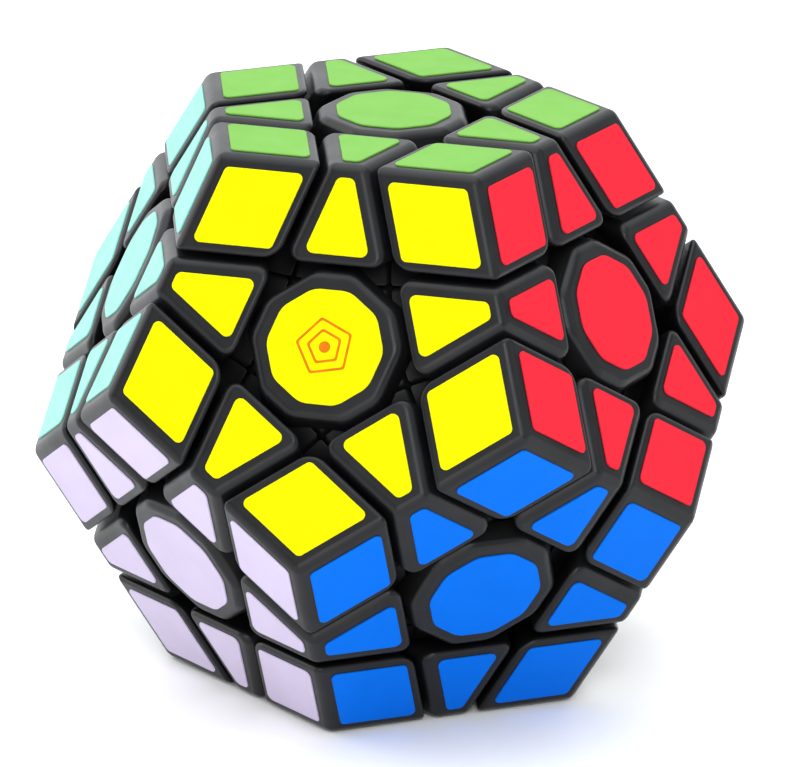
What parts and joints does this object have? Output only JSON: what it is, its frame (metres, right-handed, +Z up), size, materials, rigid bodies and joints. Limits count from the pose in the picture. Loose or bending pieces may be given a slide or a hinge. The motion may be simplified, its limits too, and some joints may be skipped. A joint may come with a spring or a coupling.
{
  "type": "dodecahedron twisty puzzle",
  "caption": "Twelve-sided twisty puzzle: black pieces on a screwed core, turning in layers about each face.",
  "frame": {"origin": "bottom centre of the puzzle, on the face it rests on, with its centre at z = 35 mm", "axes": "+Z up through the lime face, -Y under the yellow face, which leans up"},
  "size_m": [0.0816, 0.0858, 0.07],
  "materials": {
    "black_plastic": "satin black moulded plastic",
    "core_plastic": "plain grey moulded plastic"
  },
  "bodies": {
    "core": {"core": "core_plastic", "centre_green": "black_plastic"},
    "centre_yellow": {"centre_yellow": "black_plastic"},
    "centre_pink": {"centre_pink": "black_plastic"},
    "centre_lime": {"centre_lime": "black_plastic"},
    "centre_red": {"centre_red": "black_plastic"},
    "centre_orange": {"centre_orange": "black_plastic"},
    "centre_mint": {"centre_mint": "black_plastic"},
    "centre_blue": {"centre_blue": "black_plastic", "edge_blue_green": "black_plastic"},
    "centre_white": {"centre_white_with_edge_white_green": "black_plastic"},
    "centre_purple": {"centre_purple_with_edge_purple_green": "black_plastic"},
    "centre_grey": {"centre_grey_with_edge_grey_green": "black_plastic"},
    "centre_lavender": {"centre_lavender": "black_plastic", "edge_lavender_green": "black_plastic"},
    "edge_yellow_lime": {"edge_lime_yellow": "black_plastic"},
    "edge_lime_red": {"edge_lime_red": "black_plastic"},
    "edge_lime_orange": {"edge_lime_orange": "black_plastic"},
    "edge_pink_lime": {"edge_lime_pink": "black_plastic"},
    "edge_lime_mint": {"edge_lime_mint": "black_plastic"},
    "edge_yellow_red": {"edge_yellow_red": "black_plastic"},
    "edge_yellow_mint": {"edge_yellow_mint": "black_plastic"},
    "edge_yellow_blue": {"edge_yellow_blue": "black_plastic"},
    "edge_yellow_lavender": {"edge_yellow_lavender": "black_plastic"},
    "edge_red_orange": {"edge_red_orange": "black_plastic"},
    "edge_red_blue": {"edge_red_blue": "black_plastic"},
    "edge_red_white": {"edge_red_white": "black_plastic"},
    "edge_pink_orange": {"edge_orange_pink": "black_plastic"},
    "edge_orange_white": {"edge_orange_white": "black_plastic"},
    "edge_orange_purple": {"edge_orange_purple": "black_plastic"},
    "edge_pink_mint": {"edge_pink_mint": "black_plastic"},
    "edge_pink_purple": {"edge_pink_purple": "black_plastic"},
    "edge_pink_grey": {"edge_pink_grey": "black_plastic"},
    "edge_mint_grey": {"edge_mint_grey": "black_plastic"},
    "edge_mint_lavender": {"edge_mint_lavender": "black_plastic"},
    "edge_blue_white": {"edge_blue_white": "black_plastic", "corner_blue_white_green": "black_plastic"},
    "edge_blue_lavender": {"edge_blue_lavender": "black_plastic", "corner_blue_lavender_green": "black_plastic"},
    "edge_white_purple": {"edge_white_purple": "black_plastic", "corner_white_purple_green": "black_plastic"},
    "edge_purple_grey": {"edge_purple_grey": "black_plastic", "corner_purple_grey_green": "black_plastic"},
    "edge_grey_lavender": {"edge_grey_lavender": "black_plastic", "corner_grey_lavender_green": "black_plastic"},
    "corner_yellow_lime_red": {"corner_lime_yellow_red": "black_plastic"},
    "corner_yellow_lime_mint": {"corner_lime_yellow_mint": "black_plastic"},
    "corner_lime_red_orange": {"corner_lime_red_orange": "black_plastic"},
    "corner_pink_lime_orange": {"corner_lime_orange_pink": "black_plastic"},
    "corner_pink_lime_mint": {"corner_lime_pink_mint": "black_plastic"},
    "corner_yellow_red_blue": {"corner_yellow_red_blue": "black_plastic"},
    "corner_yellow_mint_lavender": {"corner_yellow_mint_lavender": "black_plastic"},
    "corner_yellow_blue_lavender": {"corner_yellow_blue_lavender": "black_plastic"},
    "corner_red_orange_white": {"corner_red_orange_white": "black_plastic"},
    "corner_red_blue_white": {"corner_red_blue_white": "black_plastic"},
    "corner_pink_orange_purple": {"corner_orange_pink_purple": "black_plastic"},
    "corner_orange_white_purple": {"corner_orange_white_purple": "black_plastic"},
    "corner_pink_mint_grey": {"corner_pink_mint_grey": "black_plastic"},
    "corner_pink_purple_grey": {"corner_pink_purple_grey": "black_plastic"},
    "corner_mint_grey_lavender": {"corner_mint_grey_lavender": "black_plastic"}
  },
  "joints": [
    {"name": "free_turn_yellow", "type": "hinge", "parent": "core", "child": "centre_yellow", "pos_m": [0, 0, 0.035], "axis": [0, -0.8944, 0.4472], "continuous": true},
    {"name": "free_turn_pink", "type": "hinge", "parent": "core", "child": "centre_pink", "pos_m": [0, 0, 0.035], "axis": [-0.5257, 0.7236, 0.4472], "continuous": true},
    {"name": "turn_lime", "type": "hinge", "parent": "core", "child": "centre_lime", "pos_m": [0, 0, 0.035], "axis": [0, 0, 1], "range_deg": [-360, 360]},
    {"name": "turn_red", "type": "hinge", "parent": "core", "child": "centre_red", "pos_m": [0, 0, 0.035], "axis": [0.8507, -0.2764, 0.4472], "range_deg": [-360, 360]},
    {"name": "turn_orange", "type": "hinge", "parent": "core", "child": "centre_orange", "pos_m": [0, 0, 0.035], "axis": [0.5257, 0.7236, 0.4472], "range_deg": [-360, 360]},
    {"name": "turn_mint", "type": "hinge", "parent": "core", "child": "centre_mint", "pos_m": [0, 0, 0.035], "axis": [-0.8507, -0.2764, 0.4472], "range_deg": [-360, 360]},
    {"name": "turn_blue", "type": "hinge", "parent": "core", "child": "centre_blue", "pos_m": [0, 0, 0.035], "axis": [0.5257, -0.7236, -0.4472], "range_deg": [-360, 360]},
    {"name": "turn_white", "type": "hinge", "parent": "core", "child": "centre_white", "pos_m": [0, 0, 0.035], "axis": [0.8507, 0.2764, -0.4472], "range_deg": [-360, 360]},
    {"name": "turn_purple", "type": "hinge", "parent": "core", "child": "centre_purple", "pos_m": [0, 0, 0.035], "axis": [0, 0.8944, -0.4472], "range_deg": [-360, 360]},
    {"name": "turn_grey", "type": "hinge", "parent": "core", "child": "centre_grey", "pos_m": [0, 0, 0.035], "axis": [-0.8507, 0.2764, -0.4472], "range_deg": [-360, 360]},
    {"name": "turn_lavender", "type": "hinge", "parent": "core", "child": "centre_lavender", "pos_m": [0, 0, 0.035], "axis": [-0.5257, -0.7236, -0.4472], "range_deg": [-360, 360]},
    {"name": "edge_yellow_lime_turns_with_lime", "type": "hinge", "parent": "centre_yellow", "child": "edge_yellow_lime", "pos_m": [0, 0, 0.035], "axis": [0, 0, 1], "range_deg": [-360, 360]},
    {"name": "edge_lime_red_turns_with_red", "type": "hinge", "parent": "centre_lime", "child": "edge_lime_red", "pos_m": [0, 0, 0.035], "axis": [0.8507, -0.2764, 0.4472], "range_deg": [-360, 360]},
    {"name": "edge_lime_orange_turns_with_orange", "type": "hinge", "parent": "centre_lime", "child": "edge_lime_orange", "pos_m": [0, 0, 0.035], "axis": [0.5257, 0.7236, 0.4472], "range_deg": [-360, 360]},
    {"name": "edge_pink_lime_turns_with_lime", "type": "hinge", "parent": "centre_pink", "child": "edge_pink_lime", "pos_m": [0, 0, 0.035], "axis": [0, 0, 1], "range_deg": [-360, 360]},
    {"name": "edge_lime_mint_turns_with_mint", "type": "hinge", "parent": "centre_lime", "child": "edge_lime_mint", "pos_m": [0, 0, 0.035], "axis": [-0.8507, -0.2764, 0.4472], "range_deg": [-360, 360]},
    {"name": "edge_yellow_red_turns_with_red", "type": "hinge", "parent": "centre_yellow", "child": "edge_yellow_red", "pos_m": [0, 0, 0.035], "axis": [0.8507, -0.2764, 0.4472], "range_deg": [-360, 360]},
    {"name": "edge_yellow_mint_turns_with_mint", "type": "hinge", "parent": "centre_yellow", "child": "edge_yellow_mint", "pos_m": [0, 0, 0.035], "axis": [-0.8507, -0.2764, 0.4472], "range_deg": [-360, 360]},
    {"name": "edge_yellow_blue_turns_with_blue", "type": "hinge", "parent": "centre_yellow", "child": "edge_yellow_blue", "pos_m": [0, 0, 0.035], "axis": [0.5257, -0.7236, -0.4472], "range_deg": [-360, 360]},
    {"name": "edge_yellow_lavender_turns_with_lavender", "type": "hinge", "parent": "centre_yellow", "child": "edge_yellow_lavender", "pos_m": [0, 0, 0.035], "axis": [-0.5257, -0.7236, -0.4472], "range_deg": [-360, 360]},
    {"name": "edge_red_orange_turns_with_orange", "type": "hinge", "parent": "centre_red", "child": "edge_red_orange", "pos_m": [0, 0, 0.035], "axis": [0.5257, 0.7236, 0.4472], "range_deg": [-360, 360]},
    {"name": "edge_red_blue_turns_with_blue", "type": "hinge", "parent": "centre_red", "child": "edge_red_blue", "pos_m": [0, 0, 0.035], "axis": [0.5257, -0.7236, -0.4472], "range_deg": [-360, 360]},
    {"name": "edge_red_white_turns_with_white", "type": "hinge", "parent": "centre_red", "child": "edge_red_white", "pos_m": [0, 0, 0.035], "axis": [0.8507, 0.2764, -0.4472], "range_deg": [-360, 360]},
    {"name": "edge_pink_orange_turns_with_orange", "type": "hinge", "parent": "centre_pink", "child": "edge_pink_orange", "pos_m": [0, 0, 0.035], "axis": [0.5257, 0.7236, 0.4472], "range_deg": [-360, 360]},
    {"name": "edge_orange_white_turns_with_white", "type": "hinge", "parent": "centre_orange", "child": "edge_orange_white", "pos_m": [0, 0, 0.035], "axis": [0.8507, 0.2764, -0.4472], "range_deg": [-360, 360]},
    {"name": "edge_orange_purple_turns_with_purple", "type": "hinge", "parent": "centre_orange", "child": "edge_orange_purple", "pos_m": [0, 0, 0.035], "axis": [0, 0.8944, -0.4472], "range_deg": [-360, 360]},
    {"name": "edge_pink_mint_turns_with_mint", "type": "hinge", "parent": "centre_pink", "child": "edge_pink_mint", "pos_m": [0, 0, 0.035], "axis": [-0.8507, -0.2764, 0.4472], "range_deg": [-360, 360]},
    {"name": "edge_pink_purple_turns_with_purple", "type": "hinge", "parent": "centre_pink", "child": "edge_pink_purple", "pos_m": [0, 0, 0.035], "axis": [0, 0.8944, -0.4472], "range_deg": [-360, 360]},
    {"name": "edge_pink_grey_turns_with_grey", "type": "hinge", "parent": "centre_pink", "child": "edge_pink_grey", "pos_m": [0, 0, 0.035], "axis": [-0.8507, 0.2764, -0.4472], "range_deg": [-360, 360]},
    {"name": "edge_mint_grey_turns_with_grey", "type": "hinge", "parent": "centre_mint", "child": "edge_mint_grey", "pos_m": [0, 0, 0.035], "axis": [-0.8507, 0.2764, -0.4472], "range_deg": [-360, 360]},
    {"name": "edge_mint_lavender_turns_with_lavender", "type": "hinge", "parent": "centre_mint", "child": "edge_mint_lavender", "pos_m": [0, 0, 0.035], "axis": [-0.5257, -0.7236, -0.4472], "range_deg": [-360, 360]},
    {"name": "edge_blue_white_turns_with_white", "type": "hinge", "parent": "centre_blue", "child": "edge_blue_white", "pos_m": [0, 0, 0.035], "axis": [0.8507, 0.2764, -0.4472], "range_deg": [-360, 360]},
    {"name": "edge_blue_lavender_turns_with_lavender", "type": "hinge", "parent": "centre_blue", "child": "edge_blue_lavender", "pos_m": [0, 0, 0.035], "axis": [-0.5257, -0.7236, -0.4472], "range_deg": [-360, 360]},
    {"name": "edge_white_purple_turns_with_purple", "type": "hinge", "parent": "centre_white", "child": "edge_white_purple", "pos_m": [0, 0, 0.035], "axis": [0, 0.8944, -0.4472], "range_deg": [-360, 360]},
    {"name": "edge_purple_grey_turns_with_grey", "type": "hinge", "parent": "centre_purple", "child": "edge_purple_grey", "pos_m": [0, 0, 0.035], "axis": [-0.8507, 0.2764, -0.4472], "range_deg": [-360, 360]},
    {"name": "edge_grey_lavender_turns_with_lavender", "type": "hinge", "parent": "centre_grey", "child": "edge_grey_lavender", "pos_m": [0, 0, 0.035], "axis": [-0.5257, -0.7236, -0.4472], "range_deg": [-360, 360]},
    {"name": "corner_yellow_lime_red_turns_with_red", "type": "hinge", "parent": "edge_yellow_lime", "child": "corner_yellow_lime_red", "pos_m": [0, 0, 0.035], "axis": [0.8507, -0.2764, 0.4472], "range_deg": [-360, 360]},
    {"name": "corner_yellow_lime_mint_turns_with_mint", "type": "hinge", "parent": "edge_yellow_lime", "child": "corner_yellow_lime_mint", "pos_m": [0, 0, 0.035], "axis": [-0.8507, -0.2764, 0.4472], "range_deg": [-360, 360]},
    {"name": "corner_lime_red_orange_turns_with_orange", "type": "hinge", "parent": "edge_lime_red", "child": "corner_lime_red_orange", "pos_m": [0, 0, 0.035], "axis": [0.5257, 0.7236, 0.4472], "range_deg": [-360, 360]},
    {"name": "corner_pink_lime_orange_turns_with_orange", "type": "hinge", "parent": "edge_pink_lime", "child": "corner_pink_lime_orange", "pos_m": [0, 0, 0.035], "axis": [0.5257, 0.7236, 0.4472], "range_deg": [-360, 360]},
    {"name": "corner_pink_lime_mint_turns_with_mint", "type": "hinge", "parent": "edge_pink_lime", "child": "corner_pink_lime_mint", "pos_m": [0, 0, 0.035], "axis": [-0.8507, -0.2764, 0.4472], "range_deg": [-360, 360]},
    {"name": "corner_yellow_red_blue_turns_with_blue", "type": "hinge", "parent": "edge_yellow_red", "child": "corner_yellow_red_blue", "pos_m": [0, 0, 0.035], "axis": [0.5257, -0.7236, -0.4472], "range_deg": [-360, 360]},
    {"name": "corner_yellow_mint_lavender_turns_with_lavender", "type": "hinge", "parent": "edge_yellow_mint", "child": "corner_yellow_mint_lavender", "pos_m": [0, 0, 0.035], "axis": [-0.5257, -0.7236, -0.4472], "range_deg": [-360, 360]},
    {"name": "corner_yellow_blue_lavender_turns_with_lavender", "type": "hinge", "parent": "edge_yellow_blue", "child": "corner_yellow_blue_lavender", "pos_m": [0, 0, 0.035], "axis": [-0.5257, -0.7236, -0.4472], "range_deg": [-360, 360]},
    {"name": "corner_red_orange_white_turns_with_white", "type": "hinge", "parent": "edge_red_orange", "child": "corner_red_orange_white", "pos_m": [0, 0, 0.035], "axis": [0.8507, 0.2764, -0.4472], "range_deg": [-360, 360]},
    {"name": "corner_red_blue_white_turns_with_white", "type": "hinge", "parent": "edge_red_blue", "child": "corner_red_blue_white", "pos_m": [0, 0, 0.035], "axis": [0.8507, 0.2764, -0.4472], "range_deg": [-360, 360]},
    {"name": "corner_pink_orange_purple_turns_with_purple", "type": "hinge", "parent": "edge_pink_orange", "child": "corner_pink_orange_purple", "pos_m": [0, 0, 0.035], "axis": [0, 0.8944, -0.4472], "range_deg": [-360, 360]},
    {"name": "corner_orange_white_purple_turns_with_purple", "type": "hinge", "parent": "edge_orange_white", "child": "corner_orange_white_purple", "pos_m": [0, 0, 0.035], "axis": [0, 0.8944, -0.4472], "range_deg": [-360, 360]},
    {"name": "corner_pink_mint_grey_turns_with_grey", "type": "hinge", "parent": "edge_pink_mint", "child": "corner_pink_mint_grey", "pos_m": [0, 0, 0.035], "axis": [-0.8507, 0.2764, -0.4472], "range_deg": [-360, 360]},
    {"name": "corner_pink_purple_grey_turns_with_grey", "type": "hinge", "parent": "edge_pink_purple", "child": "corner_pink_purple_grey", "pos_m": [0, 0, 0.035], "axis": [-0.8507, 0.2764, -0.4472], "range_deg": [-360, 360]},
    {"name": "corner_mint_grey_lavender_turns_with_lavender", "type": "hinge", "parent": "edge_mint_grey", "child": "corner_mint_grey_lavender", "pos_m": [0, 0, 0.035], "axis": [-0.5257, -0.7236, -0.4472], "range_deg": [-360, 360]}
  ],
  "couplings": [
    {"joint": "edge_yellow_lime_turns_with_lime", "follows": "turn_lime", "ratio": 1},
    {"joint": "edge_lime_red_turns_with_red", "follows": "turn_red", "ratio": 1},
    {"joint": "edge_lime_orange_turns_with_orange", "follows": "turn_orange", "ratio": 1},
    {"joint": "edge_pink_lime_turns_with_lime", "follows": "turn_lime", "ratio": 1},
    {"joint": "edge_lime_mint_turns_with_mint", "follows": "turn_mint", "ratio": 1},
    {"joint": "edge_yellow_red_turns_with_red", "follows": "turn_red", "ratio": 1},
    {"joint": "edge_yellow_mint_turns_with_mint", "follows": "turn_mint", "ratio": 1},
    {"joint": "edge_yellow_blue_turns_with_blue", "follows": "turn_blue", "ratio": 1},
    {"joint": "edge_yellow_lavender_turns_with_lavender", "follows": "turn_lavender", "ratio": 1},
    {"joint": "edge_red_orange_turns_with_orange", "follows": "turn_orange", "ratio": 1},
    {"joint": "edge_red_blue_turns_with_blue", "follows": "turn_blue", "ratio": 1},
    {"joint": "edge_red_white_turns_with_white", "follows": "turn_white", "ratio": 1},
    {"joint": "edge_pink_orange_turns_with_orange", "follows": "turn_orange", "ratio": 1},
    {"joint": "edge_orange_white_turns_with_white", "follows": "turn_white", "ratio": 1},
    {"joint": "edge_orange_purple_turns_with_purple", "follows": "turn_purple", "ratio": 1},
    {"joint": "edge_pink_mint_turns_with_mint", "follows": "turn_mint", "ratio": 1},
    {"joint": "edge_pink_purple_turns_with_purple", "follows": "turn_purple", "ratio": 1},
    {"joint": "edge_pink_grey_turns_with_grey", "follows": "turn_grey", "ratio": 1},
    {"joint": "edge_mint_grey_turns_with_grey", "follows": "turn_grey", "ratio": 1},
    {"joint": "edge_mint_lavender_turns_with_lavender", "follows": "turn_lavender", "ratio": 1},
    {"joint": "edge_blue_white_turns_with_white", "follows": "turn_white", "ratio": 1},
    {"joint": "edge_blue_lavender_turns_with_lavender", "follows": "turn_lavender", "ratio": 1},
    {"joint": "edge_white_purple_turns_with_purple", "follows": "turn_purple", "ratio": 1},
    {"joint": "edge_purple_grey_turns_with_grey", "follows": "turn_grey", "ratio": 1},
    {"joint": "edge_grey_lavender_turns_with_lavender", "follows": "turn_lavender", "ratio": 1},
    {"joint": "corner_yellow_lime_red_turns_with_red", "follows": "turn_red", "ratio": 1},
    {"joint": "corner_yellow_lime_mint_turns_with_mint", "follows": "turn_mint", "ratio": 1},
    {"joint": "corner_lime_red_orange_turns_with_orange", "follows": "turn_orange", "ratio": 1},
    {"joint": "corner_pink_lime_orange_turns_with_orange", "follows": "turn_orange", "ratio": 1},
    {"joint": "corner_pink_lime_mint_turns_with_mint", "follows": "turn_mint", "ratio": 1},
    {"joint": "corner_yellow_red_blue_turns_with_blue", "follows": "turn_blue", "ratio": 1},
    {"joint": "corner_yellow_mint_lavender_turns_with_lavender", "follows": "turn_lavender", "ratio": 1},
    {"joint": "corner_yellow_blue_lavender_turns_with_lavender", "follows": "turn_lavender", "ratio": 1},
    {"joint": "corner_red_orange_white_turns_with_white", "follows": "turn_white", "ratio": 1},
    {"joint": "corner_red_blue_white_turns_with_white", "follows": "turn_white", "ratio": 1},
    {"joint": "corner_pink_orange_purple_turns_with_purple", "follows": "turn_purple", "ratio": 1},
    {"joint": "corner_orange_white_purple_turns_with_purple", "follows": "turn_purple", "ratio": 1},
    {"joint": "corner_pink_mint_grey_turns_with_grey", "follows": "turn_grey", "ratio": 1},
    {"joint": "corner_pink_purple_grey_turns_with_grey", "follows": "turn_grey", "ratio": 1},
    {"joint": "corner_mint_grey_lavender_turns_with_lavender", "follows": "turn_lavender", "ratio": 1}
  ]
}
